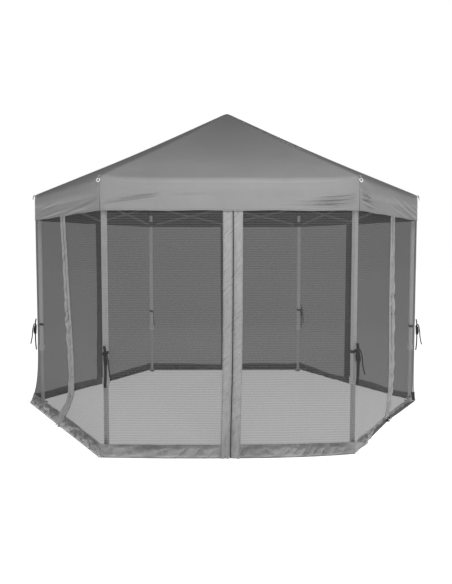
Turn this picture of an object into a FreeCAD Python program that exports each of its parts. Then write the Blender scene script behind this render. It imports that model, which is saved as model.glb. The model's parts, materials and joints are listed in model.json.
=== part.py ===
import FreeCAD, Part
# Six-sided pop-up screen house: a folding scissor frame under a fabric cover with mesh walls.
# Origin: middle of the footprint, on the ground. +Z is up, corner 1 lies on +X, and the
# wall with the main zip faces -Y. Corners 1 to 6 and sides 1 to 6 run anticlockwise, and
# side n goes from corner n to the next corner. All sizes are in millimetres.

import math
import os

import Sketcher

CORNERS = 6
CORNER_STEP = 360 / CORNERS
FRONT_SIDE = 5

# The driving dimensions of the whole object.
DRIVING = {
    "leg_radius": 1755,
    "cover_radius": 1806,
    "wall_radius": 1796,
    "eave_height": 1965,
    "peak_height": 2710,
    "valance_drop": 245,
    "valance_gap": 2.5,
    "wall_height": 1955,
    "roof_thickness": 2,
    "wall_thickness": 2,
    "seam_gap": 1.3,
    "tube_wall": 1,
    "upper_tube": 30,
    "lower_tube": 25,
    "upper_bottom": 510,
    "upper_top": 1945,
    "lower_top": 770,
    "pivot_height": 1940,
    "side_pivot_offset": 48,
    "rafter_pivot_offset": 40,
    "hub_pivot_radius": 60,
    "rafter_slope": 23,
    "scissor_pitch": 13,
    "folded_leg_radius": 195,
    "bar_thickness": 12,
    "bar_depth": 20,
    "bar_wall": 0.9,
    "rafter_depth": 22,
    "pin_radius": 3,
    "pin_play": 0.1,
    "layer_gap": 1,
    "cheek": 5,
    "fork_play": 0.5,
    "fork_height": 26,
    "fork_root": 8,
    "swing_gap": 1.5,
    "slot_overrun": 30,
    "block": 41,
    "fit_gap": 0.2,
    "slide_gap": 0.4,
    "bracket_height": 67,
    "bracket_cap": 12,
    "slider_height": 56,
    "collar_height": 50,
    "collar_size": 38,
    "collar_lip": 12,
    "button_radius": 5,
    "button_length": 5,
    "button_rise": 12,
    "plate_length": 62,
    "plate_width": 50,
    "plate_thickness": 4,
    "plate_inset": 45,
    "foot_socket": 33,
    "foot_height": 36,
    "peg_hole_radius": 5,
    "peg_hole_inset": 32,
    "hub_radius": 34,
    "hub_height": 44,
    "mast_radius": 14,
    "drain_radius": 8,
    "cap_radius": 36,
    "cap_top_radius": 10,
    "cap_height": 14,
    "cap_top": 2697,
    "band_width": 130,
    "band_thickness": 1.2,
    "band_bottom": 50,
    "band_top": 1900,
    "band_gap": 0.8,
    "pull_height": 880,
    "pull_width": 12,
    "pull_body": 16,
    "pull_thickness": 3,
    "pull_tab_width": 8,
    "pull_tab": 34,
    "pull_overlap": 4,
    "pull_gap": 0.4,
    "ring_radius": 13,
    "ring_wire": 2,
    "ring_height": 1928,
    "ring_reach": 5,
    "tab_width": 18,
    "tab_height": 26,
    "tab_thickness": 2,
    "tab_gap": 0.5,
    "pin_proud": 1,
}

doc = FreeCAD.newDocument("ScreenHouse")
sheet = doc.addObject("Spreadsheet::Sheet", "Dims")
for row, (alias, number) in enumerate(DRIVING.items(), start=1):
    sheet.set(f"A{row}", alias)
    sheet.set(f"B{row}", str(number))
    sheet.setAlias(f"B{row}", alias)
doc.recompute()


def dim(alias):
    """One driving dimension, read back from the sheet."""
    return float(sheet.get(alias))


def vector(x=0.0, y=0.0, z=0.0):
    return FreeCAD.Vector(x, y, z)


def turned(axis, degrees):
    """A placement that only turns about the origin."""
    return FreeCAD.Placement(vector(), FreeCAD.Rotation(axis, degrees))


def moved(x=0.0, y=0.0, z=0.0):
    """A placement that only moves."""
    return FreeCAD.Placement(vector(x, y, z), FreeCAD.Rotation())


X_AXIS = vector(1, 0, 0)
Y_AXIS = vector(0, 1, 0)
Z_AXIS = vector(0, 0, 1)


# ---------------------------------------------------------------- sketch and solid helpers


def origin_plane(body, role):
    return next(f for f in body.Origin.OriginFeatures if f.Role == role)


def new_sketch(body, name, role, lift=0.0):
    sketch = body.newObject("Sketcher::SketchObject", name)
    sketch.AttachmentSupport = [(origin_plane(body, role), "")]
    sketch.MapMode = "FlatFace"
    sketch.AttachmentOffset = moved(z=lift)
    return sketch


def bind(sketch, constraint, name, expression):
    """Add a driving constraint that follows the sheet."""
    sketch.renameConstraint(sketch.addConstraint(constraint), name)
    sketch.setExpression(f"Constraints.{name}", expression)


def close_polygon(sketch, points):
    """Draw a closed outline and join its lines end to end. Returns the first line's index."""
    first = sketch.GeometryCount
    corners = [vector(*p) for p in points]
    for start, end in zip(corners, corners[1:] + corners[:1]):
        sketch.addGeometry(Part.LineSegment(start, end))
    for k in range(len(corners)):
        following = first + (k + 1) % len(corners)
        sketch.addConstraint(Sketcher.Constraint("Coincident", first + k, 2, following, 1))
    return first


def centred_rectangle(sketch, name, width, height):
    """A rectangle about the sketch's origin. width and height are expressions."""
    wide = evaluate(width) / 2
    tall = evaluate(height) / 2
    first = close_polygon(sketch, [(-wide, -tall), (wide, -tall), (wide, tall), (-wide, tall)])
    sketch.addConstraint(Sketcher.Constraint("Horizontal", first))
    sketch.addConstraint(Sketcher.Constraint("Horizontal", first + 2))
    sketch.addConstraint(Sketcher.Constraint("Vertical", first + 1))
    sketch.addConstraint(Sketcher.Constraint("Vertical", first + 3))
    sketch.addConstraint(Sketcher.Constraint("Symmetric", first, 1, first + 2, 1, -1, 1))
    across = Sketcher.Constraint("DistanceX", first, 1, first, 2, 2 * wide)
    bind(sketch, across, f"{name}_width", width)
    up = Sketcher.Constraint("DistanceY", first + 1, 1, first + 1, 2, 2 * tall)
    bind(sketch, up, f"{name}_height", height)


def evaluate(expression):
    """The value of an expression on the sheet, for a first drawing of it."""
    result = sheet.evalExpression(expression.replace("Dims.", ""))
    return float(getattr(result, "Value", result))


def pad(body, sketch, length, symmetric=False, reverse=False):
    feature = body.newObject("PartDesign::Pad", f"{body.Name}_Pad")
    feature.Profile = sketch
    feature.setExpression("Length", length)
    feature.Reversed = reverse
    if symmetric:
        feature.SideType = "Symmetric"
    return feature


def cut_through(body, sketch):
    feature = body.newObject("PartDesign::Pocket", f"{body.Name}_Pocket")
    feature.Profile = sketch
    feature.Type = "ThroughAll"
    feature.SideType = "Symmetric"
    return feature


def square_tube(name, size, length, bottom):
    """A square tube that stands on height bottom."""
    body = doc.addObject("PartDesign::Body", name)
    sketch = new_sketch(body, f"{name}_Section", "XY_Plane")
    centred_rectangle(sketch, "outer", size, size)
    bore = f"{size} - 2 * Dims.tube_wall"
    centred_rectangle(sketch, "bore", bore, bore)
    pad(body, sketch, length)
    body.Placement = moved(z=bottom)
    return body


def flat_bar(name, length, depth, crossed=False):
    """A flat-sided hollow bar with rounded ends and a pin hole at each end, along +X.

    A crossed bar has a third pin hole half-way along.
    """
    body = doc.addObject("PartDesign::Body", name)
    run = evaluate(length)
    end = evaluate(depth) / 2
    hole = dim("pin_radius") + dim("pin_play")
    sketch = new_sketch(body, f"{name}_Outline", "XZ_Plane")
    sketch.addGeometry(Part.LineSegment(vector(0, end), vector(run, end)))
    far = Part.Circle(vector(run, 0), Z_AXIS, end)
    sketch.addGeometry(Part.ArcOfCircle(far, -math.pi / 2, math.pi / 2))
    sketch.addGeometry(Part.LineSegment(vector(run, -end), vector(0, -end)))
    near = Part.Circle(vector(0, 0), Z_AXIS, end)
    sketch.addGeometry(Part.ArcOfCircle(near, math.pi / 2, 3 * math.pi / 2))
    for joint in ((0, 2, 1, 2), (1, 1, 2, 1), (2, 2, 3, 2), (3, 1, 0, 1)):
        sketch.addConstraint(Sketcher.Constraint("Tangent", *joint))
    sketch.addConstraint(Sketcher.Constraint("Horizontal", 0))
    sketch.addConstraint(Sketcher.Constraint("Coincident", 3, 3, -1, 1))
    bind(sketch, Sketcher.Constraint("DistanceX", 3, 3, 1, 3, run), "run", length)
    bind(sketch, Sketcher.Constraint("Radius", 3, end), "end", f"{depth} / 2")
    for centre in ((0, 3), (run, 1)):
        circle = sketch.addGeometry(Part.Circle(vector(centre[0], 0), Z_AXIS, hole))
        sketch.addConstraint(Sketcher.Constraint("Coincident", circle, 3, centre[1], 3))
    bind(sketch, Sketcher.Constraint("Radius", 4, hole), "hole", "Dims.pin_radius + Dims.pin_play")
    sketch.addConstraint(Sketcher.Constraint("Equal", 4, 5))
    if crossed:
        sketch.addGeometry(Part.Circle(vector(run / 2, 0), Z_AXIS, hole))
        sketch.addConstraint(Sketcher.Constraint("Symmetric", 4, 3, 5, 3, 6, 3))
        sketch.addConstraint(Sketcher.Constraint("Equal", 4, 6))
    pad(body, sketch, "Dims.bar_thickness", symmetric=True)
    hollow = new_sketch(body, f"{name}_Hollow", "YZ_Plane")
    inside = "Dims.bar_thickness - 2 * Dims.bar_wall"
    centred_rectangle(hollow, "inside", inside, f"{depth} - 2 * Dims.bar_wall")
    cut_through(body, hollow)
    return body


def box(name, sizes, corner, placement=None):
    """A box with expressions for its sizes and its low corner given as numbers."""
    solid = doc.addObject("Part::Box", name)
    for side, expression in zip(("Length", "Width", "Height"), sizes):
        solid.setExpression(side, expression)
    solid.Placement = (placement or FreeCAD.Placement()) * moved(*corner)
    return solid


def centred_box(name, size, height, bottom, placement=None):
    """A square box about the Z axis, standing on height bottom."""
    half = evaluate(size) / 2
    return box(name, (size, size, height), (-half, -half, bottom), placement)


def cylinder(name, radius, length, placement):
    solid = doc.addObject("Part::Cylinder", name)
    solid.setExpression("Radius", radius)
    solid.setExpression("Height", length)
    solid.Placement = placement
    return solid


def through_pin(name, reach):
    """A pin across a bar and the bar beside it, reach along the first bar."""
    length = "2 * Dims.bar_thickness + Dims.layer_gap + 2 * Dims.pin_proud"
    start = -dim("bar_thickness") / 2 - dim("pin_proud")
    place = moved(reach, start) * turned(X_AXIS, -90)
    return cylinder(name, "Dims.pin_radius - Dims.pin_play", length, place)


def fused(name, shapes):
    solid = doc.addObject("Part::MultiFuse", name)
    solid.Shapes = shapes
    solid.Refine = True
    return solid


def cut(name, base, tool):
    solid = doc.addObject("Part::Cut", name)
    solid.Base = base
    solid.Tool = tool
    solid.Refine = True
    return solid


def node(label, members, placement):
    """One sub-part of one or more separate solids, placed as a whole."""
    group = doc.addObject("Part::Compound", f"Node_{label}")
    group.Links = members
    group.Label = label
    group.Placement = placement
    return group


# ---------------------------------------------------------------- forks that hold the bars

FORK_SPAN = "Dims.bar_thickness + 2 * Dims.fork_play + 2 * Dims.cheek"
SLOT_SPAN = "Dims.bar_thickness + 2 * Dims.fork_play"


def layer_centre(side):
    """How far a bar's middle plane lies from its pivot line's plane, by side (-1 or +1)."""
    return side * (dim("bar_thickness") + dim("layer_gap")) / 2


def fork_parts(name, direction, pivot_reach, side, height, depth):
    """The cheeks, slot and pin of a fork that points along direction from the Z axis.

    The bar's end, whose depth is given, turns in the slot about a pin pivot_reach out from
    the axis, at the given height. side says in which layer the bar lies.
    """
    frame = turned(Z_AXIS, direction)
    middle = layer_centre(side)
    cheeks = evaluate(FORK_SPAN)
    slot = evaluate(SLOT_SPAN)
    nose = dim("fork_height") / 2
    root = dim("fork_root")
    swing = depth / 2 + dim("swing_gap")
    overrun = dim("slot_overrun")
    outer_sizes = (f"{pivot_reach + nose - root}", FORK_SPAN, "Dims.fork_height")
    outer_corner = (root, middle - cheeks / 2, height - nose)
    outer = box(f"{name}_Cheeks", outer_sizes, outer_corner, frame)
    gap_sizes = (f"{swing + nose + overrun}", SLOT_SPAN, "Dims.fork_height + 2 * Dims.slot_overrun")
    gap_corner = (pivot_reach - swing, middle - slot / 2, height - nose - overrun)
    gap = box(f"{name}_Slot", gap_sizes, gap_corner, frame)
    along_y = frame * moved(pivot_reach, middle - cheeks / 2, height) * turned(X_AXIS, -90)
    pin = cylinder(f"{name}_Pin", "Dims.pin_radius", FORK_SPAN, along_y)
    return outer, gap, pin


def forked_block(name, core, hollows, forks):
    """A moulded block: its core and fork cheeks, less the hollows and slots, plus the pins."""
    cheeks, slots, pins = zip(*forks)
    blank = fused(f"{name}_Blank", [core, *cheeks])
    tools = fused(f"{name}_Tools", [*hollows, *slots])
    return fused(f"{name}_Moulding", [cut(f"{name}_Body", blank, tools), *pins])


# Directions of the two side bars and the rafter, seen from a leg whose own X points outward.
LEFT_SIDE = 90 + CORNER_STEP / 2
RIGHT_SIDE = -LEFT_SIDE
INWARD = 180


def corner_frame(corner):
    """The frame of a corner's leg: X outward, Z up, on the ground."""
    return turned(Z_AXIS, corner * CORNER_STEP) * moved(dim("leg_radius"))


# ---------------------------------------------------------------- legs


def leg_bracket(name):
    """The moulded bracket on top of a leg, with two down-bar forks and the rafter's fork."""
    top = dim("upper_top") + dim("fit_gap") + dim("bracket_cap")
    bottom = top - dim("bracket_height")
    core = centred_box(f"{name}_Core", "Dims.block", "Dims.bracket_height", bottom)
    socket_size = "Dims.upper_tube + 2 * Dims.fit_gap"
    socket_height = "Dims.bracket_height - Dims.bracket_cap"
    socket = centred_box(f"{name}_Socket", socket_size, socket_height, bottom)
    height = dim("pivot_height")
    reach = dim("side_pivot_offset")
    forks = [
        fork_parts(f"{name}_Left", LEFT_SIDE, reach, -1, height, dim("bar_depth")),
        fork_parts(f"{name}_Right", RIGHT_SIDE, reach, -1, height, dim("bar_depth")),
        fork_parts(
            f"{name}_Rafter", INWARD, dim("rafter_pivot_offset"), -1, height, dim("rafter_depth")
        ),
    ]
    return forked_block(name, core, [socket], forks)


def leg_collar(name):
    """The collar at the foot of the upper tube, which guides the lower tube."""
    bottom = dim("upper_bottom") - dim("collar_lip")
    block = centred_box(f"{name}_Block", "Dims.collar_size", "Dims.collar_height", bottom)
    guide_size = "Dims.lower_tube + 2 * Dims.slide_gap"
    guide = centred_box(f"{name}_Guide", guide_size, "Dims.collar_height", bottom)
    seat_size = "Dims.upper_tube + 2 * Dims.fit_gap"
    seat_bottom = dim("upper_bottom") - dim("fit_gap")
    seat = centred_box(f"{name}_Seat", seat_size, "Dims.collar_height", seat_bottom)
    return cut(f"{name}_Ring", block, fused(f"{name}_Bore", [guide, seat]))


def side_button(name, surface, height):
    """A push button on the inward face of a leg fitting, whose face is surface from the axis."""
    place = moved(-surface - dim("fit_gap"), 0, height) * turned(Y_AXIS, -90)
    return cylinder(name, "Dims.button_radius", "Dims.button_length", place)


def upper_leg(corner):
    name = f"UpperLeg{corner + 1}"
    length = "Dims.upper_top - Dims.upper_bottom"
    tube = square_tube(f"{name}_Tube", "Dims.upper_tube", length, dim("upper_bottom"))
    collar = leg_collar(f"{name}_Collar")
    button_height = dim("upper_bottom") + dim("button_rise")
    button = side_button(f"{name}_Button", dim("collar_size") / 2, button_height)
    members = [tube, leg_bracket(f"{name}_Bracket"), collar, button]
    return node(f"upper_leg_{corner + 1}", members, corner_frame(corner))


def lower_leg(corner):
    name = f"LowerLeg{corner + 1}"
    start = "Dims.plate_thickness + Dims.fit_gap"
    tube = square_tube(
        f"{name}_Tube", "Dims.lower_tube", f"Dims.lower_top - {start}", evaluate(start)
    )
    plate_sizes = ("Dims.plate_length", "Dims.plate_width", "Dims.plate_thickness")
    plate = box(
        f"{name}_Plate", plate_sizes, (-dim("plate_inset"), -dim("plate_width") / 2, 0)
    )
    socket = centred_box(f"{name}_Socket", "Dims.foot_socket", "Dims.foot_height", 0)
    seat_size = "Dims.lower_tube + 2 * Dims.fit_gap"
    seat = centred_box(f"{name}_Seat", seat_size, "Dims.foot_height", dim("plate_thickness"))
    hole_place = moved(-dim("peg_hole_inset"))
    hole = cylinder(
        f"{name}_PegHole", "Dims.peg_hole_radius", "Dims.plate_thickness", hole_place
    )
    blank = fused(f"{name}_FootBlank", [plate, socket])
    foot = cut(f"{name}_Foot", blank, fused(f"{name}_FootTools", [seat, hole]))
    return node(f"lower_leg_{corner + 1}", [tube, foot], corner_frame(corner))


def scissor_length():
    """Expression for the distance between a scissor bar's end pivots."""
    return "(Dims.leg_radius / 2 - Dims.side_pivot_offset) / cos(Dims.scissor_pitch * 1 deg)"


def slider_height():
    """Height of the sliding block's pivots when the frame is up."""
    drop = evaluate(scissor_length()) * math.sin(math.radians(dim("scissor_pitch")))
    return dim("pivot_height") - drop


def leg_slider(corner):
    """The block that slides on the upper leg and carries the two up-bars."""
    name = f"Slider{corner + 1}"
    height = slider_height()
    bottom = height - dim("slider_height") / 2
    core = centred_box(f"{name}_Core", "Dims.block", "Dims.slider_height", bottom)
    bore_size = "Dims.upper_tube + 2 * Dims.slide_gap"
    bore = centred_box(f"{name}_Bore", bore_size, "Dims.slider_height", bottom)
    reach = dim("side_pivot_offset")
    forks = [
        fork_parts(f"{name}_Left", LEFT_SIDE, reach, 1, height, dim("bar_depth")),
        fork_parts(f"{name}_Right", RIGHT_SIDE, reach, 1, height, dim("bar_depth")),
    ]
    block = forked_block(name, core, [bore], forks)
    button = side_button(f"{name}_Button", dim("block") / 2, height)
    return node(f"leg_slider_{corner + 1}", [block, button], corner_frame(corner))


# ---------------------------------------------------------------- scissor bars and rafters


def scissor_bar(corner, hand, rises):
    """One bar of a side's scissors, from a leg to the middle of the side.

    hand is left or right, seen along the leg's outward direction. A bar that rises starts
    at the sliding block and lies in one layer, and one that falls starts at the bracket
    and lies in the other. The falling bar carries the rivet they both turn on.
    """
    direction = LEFT_SIDE if hand == "left" else RIGHT_SIDE
    course = "up" if rises else "down"
    label = f"{course}_bar_{corner + 1}_{hand}"
    name = f"{course.title()}Bar{corner + 1}{hand.title()}"
    bar = flat_bar(name, scissor_length(), "Dims.bar_depth", crossed=True)
    height = slider_height() if rises else dim("pivot_height")
    pitch = -dim("scissor_pitch") if rises else dim("scissor_pitch")
    layer = layer_centre(1 if rises else -1)
    along_side = corner_frame(corner) * turned(Z_AXIS, direction)
    pivot = moved(dim("side_pivot_offset"), layer, height)
    placement = along_side * pivot * turned(Y_AXIS, pitch)
    if rises:
        bar.Label = label
        bar.Placement = placement
        return bar
    rivet = through_pin(f"{name}Rivet", evaluate(scissor_length()) / 2)
    return node(label, [bar, rivet], placement)


class Rafter:
    """The two-part rafter's plane geometry, up and folded.

    The inner and outer parts are in line when the frame is up. When it is folded both are
    nearly upright, with the knee at the bottom, and the leg is as far below the hub as it
    was when up.
    """

    def __init__(self):
        slope = math.radians(dim("rafter_slope"))
        self.leg_pivot = dim("leg_radius") - dim("rafter_pivot_offset")
        span = self.leg_pivot - dim("hub_pivot_radius")
        self.rise = span * math.tan(slope)
        total = span / math.cos(slope)
        folded_pivot = dim("folded_leg_radius") - dim("rafter_pivot_offset")
        folded_span = folded_pivot - dim("hub_pivot_radius")
        folded_angle = math.acos(folded_span / total)
        difference = self.rise / math.sin(folded_angle)
        self.inner = (total + difference) / 2
        self.outer = (total - difference) / 2
        self.hub_height = dim("pivot_height") + self.rise
        self.knee_radius = dim("hub_pivot_radius") + self.inner * math.cos(slope)
        self.knee_height = self.hub_height - self.inner * math.sin(slope)


rafter = Rafter()


def rafter_part(corner, part):
    """The inner part hangs from the hub, and the outer part runs from the knee to the leg."""
    inner = part == "inner"
    length = rafter.inner if inner else rafter.outer
    bar = flat_bar(f"{part.title()}Rafter{corner + 1}", f"{length}", "Dims.rafter_depth")
    radius = dim("hub_pivot_radius") if inner else rafter.knee_radius
    height = rafter.hub_height if inner else rafter.knee_height
    layer = layer_centre(-1 if inner else 1)
    frame = turned(Z_AXIS, corner * CORNER_STEP) * moved(radius, layer, height)
    placement = frame * turned(Y_AXIS, dim("rafter_slope"))
    if not inner:
        bar.Label = f"outer_rafter_{corner + 1}"
        bar.Placement = placement
        return bar
    pin = through_pin(f"KneePin{corner + 1}", rafter.inner)
    return node(f"inner_rafter_{corner + 1}", [bar, pin], placement)


def centre_hub():
    """The hub that the six rafters hang from, and the mast and cap that carry the peak."""
    height = rafter.hub_height
    bottom = height - dim("hub_height") / 2
    core = cylinder("Hub_Core", "Dims.hub_radius", "Dims.hub_height", moved(z=bottom))
    drain = cylinder("Hub_Drain", "Dims.drain_radius", "Dims.hub_height", moved(z=bottom))
    forks = [
        fork_parts(
            f"Hub_Fork{corner + 1}",
            corner * CORNER_STEP,
            dim("hub_pivot_radius"),
            -1,
            height,
            dim("rafter_depth"),
        )
        for corner in range(CORNERS)
    ]
    hub = forked_block("Hub", core, [drain], forks)
    mast_bottom = bottom + dim("hub_height") + dim("fit_gap")
    cap_bottom = dim("cap_top") - dim("cap_height")
    mast_length = f"{cap_bottom - mast_bottom}"
    mast = cylinder("Hub_Mast", "Dims.mast_radius", mast_length, moved(z=mast_bottom))
    cap = doc.addObject("Part::Cone", "Hub_Cap")
    cap.setExpression("Radius1", "Dims.cap_radius")
    cap.setExpression("Radius2", "Dims.cap_top_radius")
    cap.setExpression("Height", "Dims.cap_height")
    cap.Placement = moved(z=cap_bottom)
    return node("centre_hub", [hub, fused("Hub_Post", [mast, cap])], FreeCAD.Placement())


# ---------------------------------------------------------------- fabric


def panel(name, outline, thickness, reverse):
    """A flat sewn panel in its own YZ plane, with its outer face at x = 0."""
    body = doc.addObject("PartDesign::Body", name)
    sketch = new_sketch(body, f"{name}_Outline", "YZ_Plane")
    first = close_polygon(sketch, outline)
    for k in range(len(outline)):
        sketch.addConstraint(Sketcher.Constraint("Block", first + k))
    pad(body, sketch, thickness, reverse=reverse)
    return body


def side_frame(side, radius):
    """The frame of a side at the given corner radius: X outward, Y along the side."""
    facing = turned(Z_AXIS, (side + 0.5) * CORNER_STEP)
    return facing * moved(radius * math.cos(math.radians(CORNER_STEP / 2)))


def upright_panel(name, side, radius, thickness, low, high):
    half = radius / 2 - dim("seam_gap")
    outline = [(-half, low), (half, low), (half, high), (-half, high)]
    body = panel(name, outline, thickness, reverse=True)
    body.Placement = side_frame(side, radius)
    return body


def canopy_roof():
    """Six roof panels, each from one eave to the peak."""
    radius = dim("cover_radius")
    depth = radius * math.cos(math.radians(CORNER_STEP / 2))
    rise = dim("peak_height") - dim("eave_height")
    slant = math.hypot(depth, rise)
    lean = math.degrees(math.atan2(depth, rise))
    half = radius / 2 - dim("seam_gap")
    outline = [(-half, 0), (half, 0), (0, slant * (1 - dim("seam_gap") * 2 / radius))]
    panels = []
    for side in range(CORNERS):
        body = panel(f"Roof{side + 1}", outline, "Dims.roof_thickness", reverse=True)
        eave = side_frame(side, radius) * moved(z=dim("eave_height"))
        body.Placement = eave * turned(Y_AXIS, -lean)
        panels.append(body)
    return node("canopy_roof", panels, FreeCAD.Placement())


def corner_ring(corner):
    """The guy-line ring at a corner of the valance, and the webbing tab that holds it."""
    outward = turned(Z_AXIS, corner * CORNER_STEP)
    ring = doc.addObject("Part::Torus", f"Ring{corner + 1}")
    ring.setExpression("Radius1", "Dims.ring_radius")
    ring.setExpression("Radius2", "Dims.ring_wire")
    reach = dim("cover_radius") + dim("ring_reach")
    ring.Placement = outward * moved(reach, 0, dim("ring_height")) * turned(Y_AXIS, 90)
    sizes = ("Dims.tab_thickness", "Dims.tab_width", "Dims.tab_height")
    low = dim("ring_height") + dim("ring_radius") - dim("ring_wire")
    tab_corner = (dim("cover_radius") + dim("tab_gap"), -dim("tab_width") / 2, low)
    return [ring, box(f"RingTab{corner + 1}", sizes, tab_corner, outward)]


def canopy_valance():
    """Six hanging valance panels below the eaves, with a ring at each corner."""
    high = dim("eave_height") - dim("valance_gap")
    low = dim("eave_height") - dim("valance_drop")
    members = []
    for side in range(CORNERS):
        name = f"Valance{side + 1}"
        radius = dim("cover_radius")
        members.append(upright_panel(name, side, radius, "Dims.roof_thickness", low, high))
    for corner in range(CORNERS):
        members.extend(corner_ring(corner))
    return node("canopy_valance", members, FreeCAD.Placement())


def mesh_walls():
    """Six wall panels, from the ground to the eaves, inside the valance."""
    members = [
        upright_panel(
            f"Wall{side + 1}",
            side,
            dim("wall_radius"),
            "Dims.wall_thickness",
            0,
            dim("wall_height"),
        )
        for side in range(CORNERS)
    ]
    return node("mesh_walls", members, FreeCAD.Placement())


def front_zip_band():
    """The facing on both sides of the front wall's zip."""
    width = dim("band_width") / 2
    low = dim("band_bottom")
    high = dim("band_top")
    outline = [(-width, low), (width, low), (width, high), (-width, high)]
    body = panel("FrontZipBand", outline, "Dims.band_thickness", reverse=False)
    body.Label = "front_zip_band"
    body.Placement = side_frame(FRONT_SIDE - 1, dim("wall_radius")) * moved(dim("band_gap"))
    return body


def front_zip_pull():
    """The slider of the front zip and its pull tab."""
    face = dim("band_gap") + dim("band_thickness") + dim("pull_gap")
    frame = side_frame(FRONT_SIDE - 1, dim("wall_radius")) * moved(face, 0, dim("pull_height"))
    slider = box(
        "Pull_Slider",
        ("Dims.pull_thickness", "Dims.pull_width", "Dims.pull_body"),
        (0, -dim("pull_width") / 2, 0),
    )
    tab = box(
        "Pull_Tab",
        ("Dims.pull_thickness / 2", "Dims.pull_tab_width", "Dims.pull_tab"),
        (
            dim("pull_thickness") / 2,
            -dim("pull_tab_width") / 2,
            dim("pull_overlap") - dim("pull_tab"),
        ),
    )
    pull = fused("Pull", [slider, tab])
    return node("front_zip_pull", [pull], frame)


# ---------------------------------------------------------------- the whole object


def all_parts():
    parts = [centre_hub(), canopy_roof(), canopy_valance(), mesh_walls()]
    parts += [front_zip_band(), front_zip_pull()]
    for corner in range(CORNERS):
        parts += [upper_leg(corner), lower_leg(corner), leg_slider(corner)]
        parts += [rafter_part(corner, "inner"), rafter_part(corner, "outer")]
        for hand in ("left", "right"):
            parts += [scissor_bar(corner, hand, rises) for rises in (False, True)]
    return parts


parts = all_parts()
doc.recompute()

failed = [o.Name for o in doc.Objects if {"Invalid", "Error"} & set(o.State)]
if failed:
    raise RuntimeError(f"these objects failed: {failed}")
for part in parts:
    if part.Shape.isNull() or not part.Shape.isValid():
        raise RuntimeError(f"{part.Label} has no valid shape")

os.makedirs("parts", exist_ok=True)
for part in parts:
    part.Shape.exportStep(f"parts/{part.Label}.step")
print(len(parts), "parts, rafter lengths", round(rafter.inner, 1), round(rafter.outer, 1))
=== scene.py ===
"""The looks of a six-sided pop-up screen house: fabric, net, coatings, light and camera.

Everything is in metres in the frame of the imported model: +Z up, origin on the ground in the
middle of the footprint, corner 1 on +X, and the wall with the main zip facing -Y. Corner n
stands at 60 * (n - 1) degrees, and side n runs from corner n to the next corner.
"""
import json
import math
from typing import NamedTuple

import bmesh
import bpy
import numpy as np
from mathutils import Matrix, Vector


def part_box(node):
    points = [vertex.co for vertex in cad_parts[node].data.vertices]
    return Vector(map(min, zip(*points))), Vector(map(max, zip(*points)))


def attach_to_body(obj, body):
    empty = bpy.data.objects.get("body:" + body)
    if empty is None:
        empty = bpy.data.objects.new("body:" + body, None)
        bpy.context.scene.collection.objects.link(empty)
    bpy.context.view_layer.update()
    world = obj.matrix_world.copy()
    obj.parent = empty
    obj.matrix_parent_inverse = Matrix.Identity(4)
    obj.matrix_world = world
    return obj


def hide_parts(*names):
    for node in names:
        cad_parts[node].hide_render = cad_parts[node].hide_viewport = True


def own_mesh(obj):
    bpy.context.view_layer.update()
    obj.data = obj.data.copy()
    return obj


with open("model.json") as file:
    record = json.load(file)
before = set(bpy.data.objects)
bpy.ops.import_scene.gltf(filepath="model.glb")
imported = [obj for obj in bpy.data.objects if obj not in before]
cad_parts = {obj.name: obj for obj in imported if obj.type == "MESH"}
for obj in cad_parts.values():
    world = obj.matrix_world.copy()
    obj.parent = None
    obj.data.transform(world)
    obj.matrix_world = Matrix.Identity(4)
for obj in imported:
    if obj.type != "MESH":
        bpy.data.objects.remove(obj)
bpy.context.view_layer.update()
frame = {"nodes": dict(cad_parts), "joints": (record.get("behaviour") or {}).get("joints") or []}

# ---- sizes from the frame

CORNERS = 6
STEP = math.tau / CORNERS
HALF_STEP = STEP / 2
APOTHEM_SHARE = math.cos(HALF_STEP)
FRONT_SIDE = 4  # counted from 0


def node_size(node):
    low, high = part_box(node)
    return np.array(low, float), np.array(high, float)


roof_high = node_size("canopy_roof")[1]
valance_low, valance_high = node_size("canopy_valance")
wall_high = node_size("mesh_walls")[1]
foot_low, foot_high = node_size("lower_leg_1")
pull_low, pull_high = node_size("front_zip_pull")

EAVE_Z = float(valance_high[2]) + 0.001
PEAK_Z = float(roof_high[2]) + 0.001
VALANCE_BOTTOM = float(valance_low[2])
COVER_RADIUS = float(roof_high[1]) / APOTHEM_SHARE
WALL_RADIUS = float(wall_high[1]) / APOTHEM_SHARE
WALL_TOP = float(wall_high[2])
KNEE_RADIUS = next(float(j["pos_m"][0]) for j in frame["joints"] if j["name"] == "knee_1")
FOOT_OVERHANG = 0.014  # from the middle of a lower leg's box out to its tube
LEG_RADIUS = float(foot_low[0] + foot_high[0]) / 2 + FOOT_OVERHANG

VALANCE_DROP = EAVE_Z - VALANCE_BOTTOM
HEM_HEIGHT = 0.088
FACING_WIDTH = 0.065
ZIP_GAP = 0.009
FACING_EDGE = ZIP_GAP / 2 + FACING_WIDTH
FABRIC_THICKNESS = 0.0008
UP = np.array([0, 0, 1.0])


# ---- small maths


def smooth(x, low=0.0, high=1.0):
    """Rises from 0 to 1 as x goes from low to high."""
    t = np.clip((x - low) / (high - low), 0, 1)
    return t * t * (3 - 2 * t)


def bump(x, centre, width):
    return np.exp(-(((x - centre) / width) ** 2))


def unit(angle):
    return np.array([math.cos(angle), math.sin(angle), 0.0])


def corner_axes(corner):
    """Unit vectors out of the corner and sideways, anticlockwise from above."""
    return unit(corner * STEP), unit(corner * STEP + math.pi / 2)


def along(vector, amount):
    """vector times each of amount's numbers."""
    return np.asarray(amount)[..., None] * vector


# ---- materials


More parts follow.
